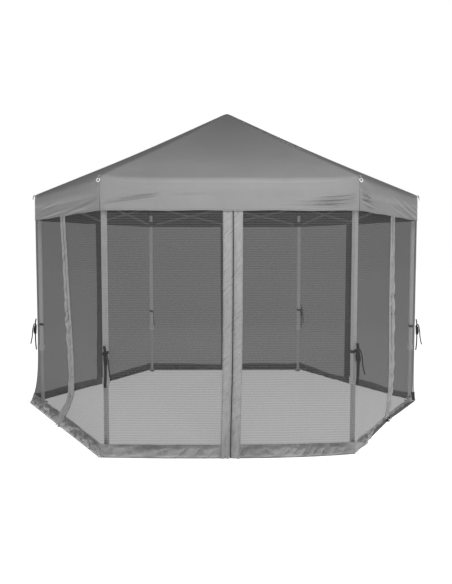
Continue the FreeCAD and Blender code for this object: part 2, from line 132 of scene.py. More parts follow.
class Tree:
    """Short calls for building a node tree."""

    def __init__(self, tree):
        self.tree = tree

    def fill(self, node, inputs):
        """Gives the node's inputs their values, or links them to other nodes' outputs."""
        for key, value in inputs.items():
            if isinstance(value, bpy.types.NodeSocket):
                self.tree.links.new(value, node.inputs[key])
            else:
                node.inputs[key].default_value = value

    def add(self, kind, inputs=None, **settings):
        made = self.tree.nodes.new(kind)
        for key, value in settings.items():
            setattr(made, key, value)
        self.fill(made, inputs or {})
        return made

    def ramp(self, factor, low, high, low_value, high_value):
        inputs = {0: factor, 1: low, 2: high, 3: low_value, 4: high_value}
        return self.add("ShaderNodeMapRange", inputs).outputs[0]


class Nodes(Tree):
    """The node tree of a new material."""

    def __init__(self, name):
        self.material = bpy.data.materials.new(name)
        self.material.use_nodes = True
        super().__init__(self.material.node_tree)
        self.shader = self.tree.nodes["Principled BSDF"]
        self.coords = None

    def look(self, colour, shade, inputs):
        """Fills the shader. shade is the mean colour, for whatever can't read the nodes."""
        self.shader.inputs["Base Color"].default_value = grey(shade)
        self.fill(self.shader, {"Base Color": colour, **inputs})
        return self.material

    def where(self, kind="Object"):
        if self.coords is None:
            self.coords = self.add("ShaderNodeTexCoord")
        return self.coords.outputs[kind]

    def height(self):
        split = self.add("ShaderNodeSeparateXYZ", {"Vector": self.where()})
        return split.outputs["Z"]

    def noise(self, scale, detail=3.0, roughness=0.5, distortion=0.0):
        inputs = {"Vector": self.where(), "Scale": scale, "Detail": detail}
        inputs.update({"Roughness": roughness, "Distortion": distortion})
        return self.add("ShaderNodeTexNoise", inputs).outputs["Fac"]

    def wave(self, scale, direction):
        """Even bands along the cloth's own directions."""
        inputs = {"Vector": self.where("UV"), "Scale": scale}
        return self.add("ShaderNodeTexWave", inputs, bands_direction=direction).outputs["Fac"]

    def stitches(self, rows):
        """Masks of the threads and the grooves of stitch rows at these places across the cloth."""
        stitch, thread_half, groove_half = 0.004, 0.0006, 0.003
        split = self.add("ShaderNodeSeparateXYZ", {"Vector": self.where("UV")})
        turns = self.maths("FRACT", self.maths("MULTIPLY", split.outputs["X"], 1 / stitch))
        dash = self.maths("LESS_THAN", turns, 0.7)
        thread, groove = None, None
        for row in rows:
            away = self.maths("ABSOLUTE", self.maths("SUBTRACT", split.outputs["Y"], row))
            here = self.maths("MULTIPLY", self.maths("LESS_THAN", away, thread_half), dash)
            dent = self.ramp(away, 0.0, groove_half, 1.0, 0.0)
            thread = here if thread is None else self.maths("MAXIMUM", thread, here)
            groove = dent if groove is None else self.maths("MAXIMUM", groove, dent)
        return thread, groove

    def maths(self, operation, first, second=0.0):
        return self.add("ShaderNodeMath", {0: first, 1: second}, operation=operation).outputs[0]

    def mix_colour(self, factor, first, second):
        inputs = {0: factor, 6: first, 7: second}
        return self.add("ShaderNodeMix", inputs, data_type="RGBA").outputs[2]

    def mottled(self, field, shade, less, more):
        """The shade, from less to more of itself as a noise field passes its middle values."""
        patches = self.ramp(field, 0.3, 0.7, 0.0, 1.0)
        return self.mix_colour(patches, grey(shade * less), grey(shade * more))

    def bumped(self, height, strength, distance, under=None):
        inputs = {"Height": height, "Strength": strength, "Distance": distance}
        if under is not None:
            inputs["Normal"] = under
        return self.add("ShaderNodeBump", inputs).outputs["Normal"]


def grey(value):
    return (value, value, value, 1.0)


WEAVE_SCALE = 260.0
FOLD_SIZE = (0.45, 0.45, 0.03)  # metres of a long crease, along and across it
RIB_PITCH = 0.017
WAVE_TURN = 20  # radians of a wave texture for each unit of its scale


def polyester(
    name, shade, roughness=0.62, crumple=0.15, sheen=0.15, mottle=0.05,
    rows=(), painted_shade=None, streaks=0.0, slant=0.0, glints=0.0,
):
    """Coated polyester: a fine plain weave, soft mottling, crumpling and a faint sheen.

    rows are the places of stitch rows, in metres across the cloth; their grooves get a painted
    shade. fade is (low, high, share), a painted shade: above the height low the colour falls to
    that share of itself at high. streaks is the strength of level folds, slant the angle in
    radians that tips them, and glints how much paler than the cloth their crests are painted,
    a painted highlight, as a multiple of its shade.
    """
    n = Nodes(name)
    broad = n.noise(3.0, 4.0, 0.6)
    colour = n.mottled(broad, shade, 1 - mottle, 1 + mottle)
    # Painted shade: the colour darkens with height, towards the peak.
    if painted_shade is not None:
        low, high, share = painted_shade
        colour = n.mix_colour(n.ramp(n.height(), low, high, 0.0, 1.0), colour, grey(shade * share))
    weave = n.maths("MULTIPLY", n.wave(WEAVE_SCALE, "X"), n.wave(WEAVE_SCALE, "Y"))
    speckle = n.ramp(weave, 0.0, 1.0, 0.0, 0.22)
    colour = n.mix_colour(speckle, colour, grey(shade * 1.25))
    if rows:
        thread, groove = n.stitches(rows)
        # Painted shade: the stitch grooves are painted darker.
        colour = n.mix_colour(n.maths("MULTIPLY", groove, 0.35), colour, grey(shade * 0.55))
        colour = n.mix_colour(thread, colour, grey(shade * 0.35))
    creases = n.bumped(n.noise(9.0, 6.0, 0.55, distortion=0.6), crumple, 0.02)
    if streaks:
        stretch = {"Vector": n.where(), "Rotation": (0.0, slant, 0.0), "Scale": FOLD_SIZE}
        tipped = n.add("ShaderNodeMapping", stretch, vector_type="TEXTURE").outputs[0]
        inputs = {"Vector": tipped, "Scale": 1.0, "Detail": 3.0}
        bands = n.add("ShaderNodeTexNoise", inputs).outputs["Fac"]
        creases = n.bumped(bands, streaks, 0.05, creases)
        # Painted highlights: the crests of the level folds are painted paler.
        if glints:
            crest = n.ramp(bands, 0.52, 0.68, 0.0, 1.0)
            colour = n.mix_colour(crest, colour, grey(shade * glints))
    surface = n.bumped(weave, 0.25, 0.0004, creases)
    if rows:
        surface = n.bumped(n.maths("SUBTRACT", thread, groove), 0.6, 0.0012, surface)
    rough = n.ramp(broad, 0.2, 0.8, roughness - 0.07, roughness + 0.07)
    shine = {"Sheen Weight": sheen, "Sheen Roughness": 0.4, "Specular IOR Level": 0.35}
    return n.look(colour, shade, {"Roughness": rough, "Normal": surface, **shine})


def net(name, shade, cover):
    """Insect net: a see-through knit with darker, slightly denser ribs. cover is its mean alpha."""
    n = Nodes(name)
    rib = n.wave(math.tau / RIB_PITCH / WAVE_TURN, "Y")
    tone = n.mottled(n.noise(4.0, 3.0, 0.5), shade, 0.94, 1.06)
    colour = n.mix_colour(n.ramp(rib, 0.0, 1.0, 0.0, 0.9), tone, grey(shade * 0.35))
    alpha = n.ramp(rib, 0.0, 1.0, cover - 0.02, cover + 0.02)
    shine = {"Roughness": 0.75, "Specular IOR Level": 0.2}
    return n.look(colour, shade, {"Alpha": alpha, "Normal": n.bumped(rib, 0.3, 0.001), **shine})


def powder_coat(name, shade, plastic=None, roughness=0.38):
    """Powder coating with a fine orange peel, and plastic of a (shade, above this height)."""
    n = Nodes(name)
    dirt = n.noise(14.0, 5.0, 0.6)
    colour = n.mix_colour(n.ramp(dirt, 0.35, 0.75, 0.0, 1.0), grey(shade), grey(shade * 0.9))
    if plastic is not None:
        mask = n.maths("GREATER_THAN", n.height(), plastic[1])
        colour = n.mix_colour(mask, colour, grey(plastic[0]))
    scuffs = n.ramp(n.noise(55.0, 8.0, 0.7), 0.64, 0.7, 0.0, 0.45)
    colour = n.mix_colour(scuffs, colour, grey(min(0.45, shade * 1.8)))
    rough = n.ramp(dirt, 0.3, 0.7, roughness - 0.05, roughness + 0.09)
    peel = n.bumped(n.noise(900.0, 2.0, 0.5), 0.12, 0.0004)
    return n.look(colour, shade, {"Roughness": rough, "Normal": peel})


def moulded(name, shade, roughness=0.5):
    """Moulded plastic with a fine spark-eroded texture and faint flow marks."""
    n = Nodes(name)
    flow = n.noise(22.0, 4.0, 0.6, distortion=1.0)
    rough = n.ramp(flow, 0.3, 0.7, roughness - 0.06, roughness + 0.08)
    grain = n.bumped(n.noise(1400.0, 2.0, 0.6), 0.2, 0.0003)
    return n.look(n.mottled(flow, shade, 0.9, 1.12), shade, {"Roughness": rough, "Normal": grain})


def galvanised(name, shade):
    """Zinc-coated steel: soft spangle and long drawing marks."""
    n = Nodes(name)
    spangle = n.add("ShaderNodeTexVoronoi", {"Vector": n.where(), "Scale": 160.0}).outputs["Color"]
    level = n.add("ShaderNodeSeparateColor", {"Color": spangle}).outputs[0]
    colour = n.mix_colour(level, grey(shade * 0.92), grey(shade * 1.06))
    rough = n.ramp(level, 0.0, 1.0, 0.36, 0.5)
    marks = n.bumped(n.noise(500.0, 3.0, 0.5), 0.1, 0.0004)
    return n.look(colour, shade, {"Metallic": 0.1, "Roughness": rough, "Normal": marks})


def webbing(name, shade):
    """Woven strap: a coarse diagonal rib crossed by the weft."""
    n = Nodes(name)
    rib = n.maths("MULTIPLY", n.wave(90.0, "DIAGONAL"), n.wave(140.0, "Y"))
    colour = n.mix_colour(rib, grey(shade * 0.75), grey(shade * 1.2))
    return n.look(colour, shade, {"Roughness": 0.8, "Normal": n.bumped(rib, 0.5, 0.0008)})


# The canopy cloth, with a painted shade that darkens it towards the peak.
CANOPY = polyester(
    "canopy_cloth", 0.31, roughness=0.58, crumple=0.18, sheen=0.03,
    rows=(-0.006, 0.006), painted_shade=(EAVE_Z, PEAK_Z - 0.05, 0.74),
)
# Painted shade: the canopy's inside face is painted nearly black for the shade under the roof, with
# painted highlights on its fold crests.
CANOPY_INSIDE = polyester(
    "canopy_underside_painted_shade", 0.012, roughness=0.34, crumple=0.6, sheen=0.02,
    mottle=0.5, streaks=1.0, glints=14.0,
)
VALANCE = polyester(
    "valance_cloth", 0.254, roughness=0.56, crumple=0.26, rows=(VALANCE_DROP - 0.012,)
)
FACING = polyester(
    "facing_cloth", 0.335, roughness=0.42, crumple=0.8, mottle=0.09,
    rows=(ZIP_GAP / 2 + 0.006, FACING_EDGE - 0.004), streaks=0.7, slant=-0.75,
)
HEM = polyester(
    "hem_cloth", 0.295, roughness=0.30, crumple=0.9, sheen=0.05, mottle=0.26,
    rows=(0.006, HEM_HEIGHT - 0.005), streaks=0.5, slant=0.5,
)
# Painted shade: the inside faces of the facings and hems are painted dark for the shade inside the walls.
INSIDE = polyester("facing_inside_painted_shade", 0.07, roughness=0.7, crumple=0.3, sheen=0.05)
NET = net("insect_net", 0.088, 0.715)
SLEEVE_BOTTOM = float(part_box("upper_leg_1")[1][2]) - 0.107
LEG_COAT = powder_coat("leg_coat", 0.86, plastic=(0.05, SLEEVE_BOTTOM))
# Painted shade: the bars and rafters wear the legs' pale powder coat, painted dark for the shade under the
# canopy.
SHADED_BAR_COAT = powder_coat("bar_coat_painted_shade", 0.22)
ZINC = galvanised("lower_tube_zinc", 0.66)
BLACK_PLASTIC = moulded("dark_moulding", 0.05)
WHITE_PLASTIC = moulded("white_moulding", 0.85, roughness=0.35)
STRAP = webbing("black_webbing", 0.02)
ZIP_TAPE = webbing("zip_tape", 0.03)
ZIP_METAL = powder_coat("zip_enamel", 0.05, roughness=0.3)


# ---- mesh helpers


def put(name, data):
    """A new object of this data, in the scene."""
    made = bpy.data.objects.new(name, data)
    bpy.context.collection.objects.link(made)
    return made


def new_piece(name, points, faces, materials, uvs, normals=None, face_materials=None):
    mesh = bpy.data.meshes.new(name)
    mesh.from_pydata([tuple(p) for p in points], [], [tuple(f) for f in faces])
    for material in materials:
        mesh.materials.append(material)
    if face_materials is not None:
        mesh.polygons.foreach_set("material_index", face_materials)
    mesh.polygons.foreach_set("use_smooth", [True] * len(mesh.polygons))
    layer = mesh.uv_layers.new(name="UVMap")
    corner_vertices = np.zeros(len(mesh.loops), int)
    mesh.loops.foreach_get("vertex_index", corner_vertices)
    layer.data.foreach_set("uv", np.asarray(uvs, float)[corner_vertices].ravel())
    mesh.update()
    if normals is not None:
        mesh.normals_split_custom_set_from_vertices([tuple(n) for n in normals])
    return put(name, mesh)


def surface_normals(shape, us, vs, outward):
    """Unit normals of shape(u, v) on a grid, by small steps, pointing along outward."""
    step = 1e-4
    across = shape(us + step, vs) - shape(us - step, vs)
    down = shape(us, vs + step) - shape(us, vs - step)
    normals = np.cross(across, down)
    normals /= np.linalg.norm(normals, axis=-1, keepdims=True) + 1e-12
    flip = np.sign((normals * outward).sum(-1, keepdims=True))
    return normals * np.where(flip == 0, 1, flip)


def sheet_piece(name, shape, us, vs, outward, materials, metric, thickness=FABRIC_THICKNESS):
    """A thin sheet over the grid of us and vs. shape(u, v) gives its outer face.

    materials are the outer and the inner face's. metric(u, v) gives the place on the flat
    cloth in metres, for a weave of real size. A thickness of 0 gives a single skin.
    """
    grid_u, grid_v = np.meshgrid(us, vs, indexing="ij")
    outer = shape(grid_u, grid_v).reshape(-1, 3)
    normals = surface_normals(shape, grid_u, grid_v, outward).reshape(-1, 3)
    rows, columns = grid_u.shape
    uvs = np.stack(np.broadcast_arrays(*metric(grid_u, grid_v)), -1).reshape(-1, 2)
    index = np.arange(rows * columns).reshape(rows, columns)
    corners = [index[:-1, :-1], index[1:, :-1], index[1:, 1:], index[:-1, 1:]]
    quads = np.stack(corners, -1).reshape(-1, 4)
    a, b, d = (outer[quads[0, k]] for k in (0, 1, 3))
    if np.dot(np.cross(b - a, d - a), normals[quads[0, 0]]) < 0:
        quads = quads[:, ::-1]
    if thickness == 0:
        return new_piece(name, outer, quads, materials[:1], uvs, normals)
    inner = outer - normals * thickness
    count = rows * columns
    rim = np.concatenate([index[:, 0], index[-1, 1:], index[-2::-1, -1], index[0, -2:0:-1]])
    after = np.roll(rim, -1)
    rims = np.stack([rim, after, after + count, rim + count], -1)
    first, second = outer[rim[0]], outer[after[0]]
    side = np.cross(second - first, -normals[rim[0]])
    if np.dot(side, first - outer.mean(0)) < 0:
        rims = rims[:, ::-1]
    faces = np.concatenate([quads, quads[:, ::-1] + count, rims])
    kinds = np.repeat([0, 1, 0], [len(quads), len(quads), len(rims)])
    points = np.concatenate([outer, inner])
    both = np.concatenate([normals, -normals])
    return new_piece(name, points, faces, materials, np.concatenate([uvs, uvs]), both, kinds)


def join_bmesh(name, builder, materials, bevel=0.0):
    """A piece from a function that fills a bmesh, with its edges rounded by bevel."""
    mesh = bpy.data.meshes.new(name)
    work = bmesh.new()
    builder(work)
    work.to_mesh(mesh)
    work.free()
    for material in materials:
        mesh.materials.append(material)
    made = put(name, mesh)
    if bevel:
        rounded = made.modifiers.new("Bevel", "BEVEL")
        rounded.width = bevel
        rounded.segments = 2
        rounded.limit_method = "ANGLE"
    mesh.polygons.foreach_set("use_smooth", [True] * len(mesh.polygons))
    mesh.set_sharp_from_angle(angle=math.radians(40))
    return made


def curve(points, count):
    """A smooth run of count points through a few (Catmull-Rom)."""
    ends = [2 * points[0] - points[1], *points, 2 * points[-1] - points[-2]]
    spans = len(points) - 1
    result = []
    for t in np.linspace(0, spans - 1e-9, count):
        k = int(t)
        a, b, c, d = ends[k : k + 4]
        f = t - k
        squared, cubed = 2 * a - 5 * b + 4 * c - d, 3 * b - a - 3 * c + d
        result.append(0.5 * (2 * b + (c - a) * f + squared * f**2 + cubed * f**3))
    return result


def tangents(points, closed):
    points = np.asarray(points)
    if closed:
        runs = np.roll(points, -1, 0) - np.roll(points, 1, 0)
    else:
        runs = np.gradient(points, axis=0)
    return runs / np.linalg.norm(runs, axis=1, keepdims=True)


def tube(name, points, radius, material, closed=False, sides=10):
    """A round wire along the points."""
    points = np.asarray(points)
    runs = tangents(points, closed)
    across = np.cross(runs[0], [0.3, 0.5, 0.8])
    rings = []
    for point, run in zip(points, runs):
        across = across - run * np.dot(across, run)
        across /= np.linalg.norm(across)
        other = np.cross(run, across)
        for k in range(sides):
            a = math.tau * k / sides
            rings.append(point + radius * (math.cos(a) * across + math.sin(a) * other))
    faces = loft_faces(len(points), sides, closed)
    uvs = [(k % sides / sides * math.tau * radius, k // sides * 0.002) for k in range(len(rings))]
    return new_piece(name, rings, faces, [material], uvs)


def loft_faces(rows, sides, closed):
    faces = []
    for i in range(rows if closed else rows - 1):
        j = (i + 1) % rows
        for k in range(sides):
            m = (k + 1) % sides
            faces.append((i * sides + k, i * sides + m, j * sides + m, j * sides + k))
    if not closed:
        faces.append(tuple(reversed(range(sides))))
        faces.append(tuple((rows - 1) * sides + k for k in range(sides)))
    return faces


def ribbon(name, points, across, width, thickness, material, closed=False, flat_along=False):
    """A flat strap along the points, width wide.

    across is the strap's width direction, or the direction it faces with flat_along.
    """
    points = np.asarray(points)
    runs = tangents(points, closed)
    rings, uvs = [], []
    length = 0.0
    for index, (point, run) in enumerate(zip(points, runs)):
        if index:
            length += float(np.linalg.norm(point - points[index - 1]))
        if flat_along:
            side = np.cross(run, across)
        else:
            side = across - run * np.dot(across, run)
        side = side / np.linalg.norm(side)
        face = np.cross(side, run)
        for i, j in ((-1, -1), (1, -1), (1, 1), (-1, 1)):
            rings.append(point + side * i * width / 2 + face * j * thickness / 2)
            uvs.append((i * width / 2, length))
    made = new_piece(name, rings, loft_faces(len(points), 4, closed), [material], uvs)
    made.data.set_sharp_from_angle(angle=math.radians(50))
    return made


# ---- the canopy's shape

HIP_ROUND = 0.014  # how softly the roof turns over a hip
CORNER_ROUND = 0.03  # and how softly its outline turns at a corner
EAVE_SAG = 0.024
EAVE_ROUND = 0.025  # how far the edge rolls down to the valance
PEAK_ROUND = 0.035
PANEL_SAG = 0.022
MIDDLE_SAG = 0.020  # a panel's further sag, between its hips
ROOF_START = 0.045  # the sheets' inner edge, below the peak patch
PATCH_RADIUS = 0.064


def eave_reach(q):
    """Distance of the eave from the centre, along a corner's direction. q is -1 to 1 across."""
    return COVER_RADIUS * 3 / (3 + np.abs(q))


def lateral(d, psi):
    """How far a point lies towards the hips, from 0 at a side's middle to 1 at a hip."""
    return np.clip(np.abs(psi) / (np.maximum(d, 1e-6) * math.tan(HALF_STEP)), 0, 1)


def roof_height(side, d, psi):
    """Height of the roof over a side, d out from the centre and psi along the side."""
    apothem = COVER_RADIUS * APOTHEM_SHARE
    f = d / apothem
    w = lateral(d, psi)
    soft = np.sqrt(d * d + PEAK_ROUND**2) - PEAK_ROUND
    height = PEAK_Z - 0.004 - (PEAK_Z - EAVE_Z) * soft / (apothem - PEAK_ROUND)
    height -= PANEL_SAG * np.sin(math.pi * np.clip(f, 0, 1))
    height -= MIDDLE_SAG * np.sin(math.pi * np.clip(f, 0, 1) ** 0.9) * (1 - w * w)
    taut = 1 - w**9
    rolled = smooth(f, 0.966, 1.034) ** 2 * 4  # 1 at the eave
    height -= EAVE_SAG * taut * smooth(f, 0.72, 1.0) + EAVE_ROUND * taut * rolled
    height += 0.0025 * np.sin(9 * psi + 2.1 * side) * np.sin(5 * f + side) * (1 - w**2) * f
    pulls = bump(w, 0.86, 0.06) * np.sin(38 * f + 1.7 * side) * smooth(f, 0.55, 0.9)
    return height + 0.0016 * pulls


def roof_point(corner, rho, q):
    """A point of the roof in the kite about a corner. q runs from -1 to 1 across the kite."""
    tau = rho * math.tan(HALF_STEP) * q
    tau_soft = np.sqrt(tau * tau + HIP_ROUND**2) - HIP_ROUND * (1 - smooth(rho, 0, 0.1))
    d = rho * math.cos(HALF_STEP) + tau_soft * math.sin(HALF_STEP)
    psi_left = -rho * math.sin(HALF_STEP) + np.abs(tau) * math.cos(HALF_STEP)
    left = roof_height(corner, d, psi_left)
    right = roof_height((corner - 1) % CORNERS, d, -psi_left)
    height = np.where(q >= 0, left, right)
    hip_distance = d * math.tan(HALF_STEP) - np.abs(psi_left)
    f = d / (COVER_RADIUS * APOTHEM_SHARE)
    pull_in = 0.5 * CORNER_ROUND * np.exp(-np.maximum(hip_distance, 0) / CORNER_ROUND)
    reach = rho - pull_in * np.clip(f, 0, 1) ** 10
    outward, sideways = corner_axes(corner)
    return along(outward, reach) + along(sideways, tau) + along(UP, height)


def spaced(start, end, count, ease=1.0):
    return start + (end - start) * np.linspace(0, 1, count) ** ease


def across_kite(count):
    """Values of q, closer together at the hip in the middle."""
    half = np.linspace(0, 1, count) ** 1.6
    return np.concatenate([-half[:0:-1], half])


def attach(piece, body):
    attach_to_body(piece, body)


def squash_across(piece):
    """Gives the piece a mesh of its own."""
    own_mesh(piece)


def inner_reach(u, v):
    """Distance from the centre in an inner roof part: u is 0 to 1 outwards; v, -1 to 1 across, is not
    used.
    """
    return ROOF_START + u * (KNEE_RADIUS - ROOF_START)


def outer_reach(u, v):
    """The same in an outer roof part, which ends at the eave."""
    return KNEE_RADIUS + u * (eave_reach(v) - KNEE_RADIUS)


def make_roof():
    """Two sheets about each rafter, which part at its knee."""
    inner_width = 2 * KNEE_RADIUS * math.tan(HALF_STEP)
    parts = (
        ("inner", inner_reach, KNEE_RADIUS - ROOF_START, inner_width, 56),
        ("outer", outer_reach, COVER_RADIUS - KNEE_RADIUS, inner_width * 1.3, 40),
    )
    for corner in range(CORNERS):
        outward = unit(corner * STEP) * 0.4 + UP
        qs = across_kite(26)
        for label, reach, length, width, count in parts:

            def shape(u, v, corner=corner, reach=reach):
                return roof_point(corner, reach(u, v), v)

            def metric(u, v, reach=reach):
                return reach(u, v), reach(u, v) * math.tan(HALF_STEP) * v

            piece = sheet_piece(
                f"roof_{label}_{corner + 1}",
                shape,
                spaced(0, 1, count),
                qs,
                outward,
                (CANOPY, CANOPY_INSIDE),
                metric,
            )
            attach(piece, f"{label}_rafter_{corner + 1}")
            if corner == 0 and label == "inner":
                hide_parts("canopy_roof")
            squash_across(piece)


def make_peak():
    """A round reinforcing patch over the hub's cap, where the six roof panels meet."""

    def shape(u, angle):
        rho = 0.002 + u * (PATCH_RADIUS - 0.002)
        sector = np.mod(angle + HALF_STEP, STEP) - HALF_STEP
        d = rho * np.cos(HALF_STEP - np.abs(sector))
        height = roof_height(0, d, 0 * d) + 0.0022 - 0.001 * u
        return np.stack([rho * np.cos(angle), rho * np.sin(angle), height], -1)

    patch = sheet_piece(
        "peak_patch",
        shape,
        np.linspace(0, 1, 12),
        np.linspace(0, math.tau, 73),
        UP,
        (CANOPY, CANOPY_INSIDE),
        metric=lambda u, v: (PATCH_RADIUS * u, PATCH_RADIUS * v),
    )
    attach(patch, "hub")


# ---- the valance

HALF_COVER = COVER_RADIUS / 2
HALF_WALL = WALL_RADIUS / 2 - 0.001


def nearest_corner(side, x):
    """The corner, counted from 0, that a point x along a side from its middle is nearer to."""
    return side if x < 0 else (side + 1) % CORNERS


def side_normal(side):
    return unit((side + 0.5) * STEP)


def side_along(side):
    return unit((side + 0.5) * STEP + math.pi / 2)


def side_frame(side):
    """Turns x, y and z to run along the side, out of it and up."""
    return Matrix((side_along(side), side_normal(side), (0, 0, 1))).transposed().to_4x4()


class Fold(NamedTuple):
    """A fold across the valance.

    centre is -1 to 1 along the side, and drop is 0 to 1 down the cloth. length and width are
    shares of the half side and of the cloth's depth. depth is in metres. tilt is the change
    of drop along the fold.
    """

    side: int
    centre: float
    drop: float
    length: float
    depth: float
    tilt: float
    width: float = 0.045

    def lift(self, psi, v):
        line = v - self.drop - self.tilt * (psi - self.centre)
        ridge = bump(line, 0, self.width) - 0.8 * bump(line, 1.9 * self.width, 1.1 * self.width)
        return self.depth * ridge * bump(psi, self.centre, self.length)


VALANCE_FOLDS = [
    Fold(4, -0.74, 0.53, 0.24, -0.0115, -0.75, 0.055),
    Fold(4, -0.35, 0.34, 0.30, 0.0030, -0.10),
    Fold(4, 0.85, 0.45, 0.18, 0.0080, -0.08, 0.034),
    Fold(4, 0.81, 0.58, 0.23, 0.0105, -0.10, 0.034),
    Fold(4, 0.77, 0.71, 0.27, 0.0110, -0.12, 0.035),
    Fold(4, 0.80, 0.84, 0.20, 0.0070, -0.08, 0.034),
    Fold(5, -0.86, 0.34, 0.13, 0.0110, 0.30, 0.036),
    Fold(5, -0.84, 0.50, 0.14, 0.0125, -0.20, 0.036),
    Fold(5, -0.80, 0.70, 0.16, 0.0100, 0.25, 0.036),
    Fold(5, 0.50, 0.56, 0.42, 0.0100, 0.75, 0.055),
    Fold(5, 0.78, 0.52, 0.22, 0.0080, 0.80, 0.055),
    Fold(5, 0.25, 0.74, 0.30, 0.0045, 0.60),
    Fold(5, 0.90, 0.36, 0.14, 0.0040, 0.85),
    Fold(3, 0.72, 0.60, 0.26, -0.0055, -0.30, 0.070),
    Fold(3, 0.50, 0.82, 0.26, 0.0035, -0.20, 0.060),
    Fold(3, -0.20, 0.80, 0.40, 0.0050, -0.20),
    Fold(3, -0.40, 0.40, 0.25, 0.0040, -0.30),
    Fold(0, 0.30, 0.55, 0.30, 0.0050, 0.12),
    Fold(1, -0.55, 0.60, 0.30, 0.0050, -0.10),
    Fold(1, 0.60, 0.45, 0.20, 0.0045, 0.20),
    Fold(2, 0.50, 0.65, 0.30, 0.0050, 0.15),
]


def valance_point(side, x, v):
    """A point of the valance, x along the side from its middle and v from the eave down."""
    corner = nearest_corner(side, np.mean(x))
    hand = 1 if corner == side else -1
    u = HALF_COVER + hand * x
    q = np.maximum(3 * u / (2 * COVER_RADIUS - u), 0) * hand
    top = roof_point(corner, eave_reach(q), q)
    psi = x / HALF_COVER
    low = VALANCE_BOTTOM + 0.0022 * np.sin(11 * psi + side) * (1 - psi**2)
    share = np.clip(v, 0, 1) ** 0.92
    height = top[..., 2] * (1 - share) + low * share
    wave = 0.0016 * np.sin(7.3 * psi + 1.9 * side) * v
    for fold in VALANCE_FOLDS:
        if fold.side == side:
            wave = wave + fold.lift(psi, v)
    roll = 0.010 * np.sin(math.pi * np.clip(v * 2.2, 0, 1)) * (1 - psi**8)
    point = top + along(side_normal(side), smooth(u, 0.0, 0.05) * (wave + roll) + 0.004 * v)
    point[..., 2] = height
    return point


def halves():
    """Each side's two halves, as (side, corner, sign of x, name)."""
    for side in range(CORNERS):
        for sign in (-1, 1):
            corner = nearest_corner(side, sign)
            yield side, corner, sign, f"{corner + 1}_{'left' if sign < 0 else 'right'}"


def hang(piece, corner):
    """The piece rides on its corner's leg, with a mesh of its own."""
    attach(piece, f"leg_{corner + 1}")
    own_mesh(piece)


def hang_at_zip(piece, side, corner, body="front_zip_band"):
    """As hang(), but the front side's zip has bodies of its own."""
    if side == FRONT_SIDE:
        attach(piece, body)
    else:
        hang(piece, corner)


def make_valance():
    """The hanging band below the eave, in two halves a side."""
    for side, corner, sign, name in halves():

        def shape(u, v, side=side, sign=sign):
            return valance_point(side, sign * u, v)

        piece = sheet_piece(
            f"valance_{name}",
            shape,
            HALF_COVER - spaced(0, HALF_COVER, 84, 1.25)[::-1],
            np.linspace(0, 1, 34),
            side_normal(side),
            (VALANCE, CANOPY_INSIDE),
            metric=lambda u, v: (u, v * VALANCE_DROP),
        )
        hang(piece, corner)
        if side == 0 and sign < 0:
            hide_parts("canopy_valance")


def make_rings():
    """A guy ring at each corner of the valance, in a folded webbing tab."""
    torus_radius, wire, ring_drop = 0.013, 0.003, 0.037
    tab_width, tab_thickness = 0.016, 0.0012
    # The tab's run, out and up from the top of the ring.
    tab_run = [(-0.006, 0.022), (-0.004, 0.008), (0.0035, 0.001), (0.001, -0.0045)]
    tab_run += [(-0.003, -0.001), (-0.006, 0.006), (-0.0075, 0.020)]
    for corner in range(CORNERS):
        outward, sideways = corner_axes(corner)
        centre = outward * (COVER_RADIUS + 0.004) + UP * (EAVE_Z - ring_drop)
        lean = outward * 0.25 - UP
        lean /= np.linalg.norm(lean)
        angles = np.linspace(0, math.tau, 37)[:-1]
        hoop = [centre + torus_radius * (math.cos(a) * sideways + math.sin(a) * lean) for a in angles]
        ring = tube(f"guy_ring_{corner + 1}", hoop, wire, WHITE_PLASTIC, closed=True)
        attach(ring, f"leg_{corner + 1}")
        top = centre - lean * torus_radius
        path = [top + outward * out + UP * rise for out, rise in tab_run]
        tab = ribbon(f"ring_tab_{corner + 1}", path, sideways, tab_width, tab_thickness, VALANCE)
        attach(tab, f"leg_{corner + 1}")


# ---- the walls


class Flare(NamedTuple):
    """How far a wall stands out at the ground, at its first corner, middle and last corner.

    bend is 1 for a straight line from the middle to a corner, and more for one that stays
    out further before it comes in.
    """

    first: float
    middle: float
    last: float
    bend: float = 1.0

    def out(self, x, at_first):
        near = self.first if at_first else self.last
        s = 1 + (x if at_first else -x) / HALF_WALL
        return near + (self.middle - near) * (1 - np.abs(1 - s) ** self.bend)


FLARES = [
    Flare(0.012, 0.020, 0.030),
    Flare(0.030, 0.030, 0.030),
    Flare(0.030, 0.030, 0.040),
    Flare(0.080, 0.062, 0.042),
    Flare(0.056, 0.086, 0.000, 2.4),
    Flare(-0.006, -0.032, 0.012),
]
SPREAD_SIDE = 5  # the side whose hem is pulled out over the ground
HEM_ON_GROUND = [0.026, 0.014, 0.014, 0.0, 0.0]  # the other sides' share of the hem there
TUCK = [0.0, 0.0, 0.0, 0.060, 0.0, 0.010]  # how far a wall's middle hangs inwards
FLARE_HEIGHT = 1.1  # a wall leans out below this height
SPREAD_HEIGHT = 0.5  # and its spread hem draws it down below this one
UNDER_EAVE = 0.014  # gap between the eave's cloth and a wall's top edge
NET_LAP = 0.016  # how far a net reaches behind its facing
TAPE_LIFT, HEM_LIFT, TEETH_LIFT, FACING_LIFT, PULL_LIFT = 0.002, 0.003, 0.0037, 0.004, 0.005  # off the net
STRAY_HEIGHTS = [0.0, 0.25, 0.6, 1.0, 1.4, 1.95]
ZIP_STRAY = [
    [0.026, 0.032, 0.030, 0.026, 0.024, 0.020],
    [-0.022, -0.028, -0.024, -0.018, -0.018, -0.018],
    [-0.014, -0.012, -0.020, -0.026, -0.024, -0.020],
    [0.000, 0.018, 0.000, -0.014, -0.006, 0.000],
    [0.002, 0.008, 0.018, 0.022, 0.023, 0.022],
    [0.120, 0.100, 0.060, 0.025, 0.010, 0.000],
]


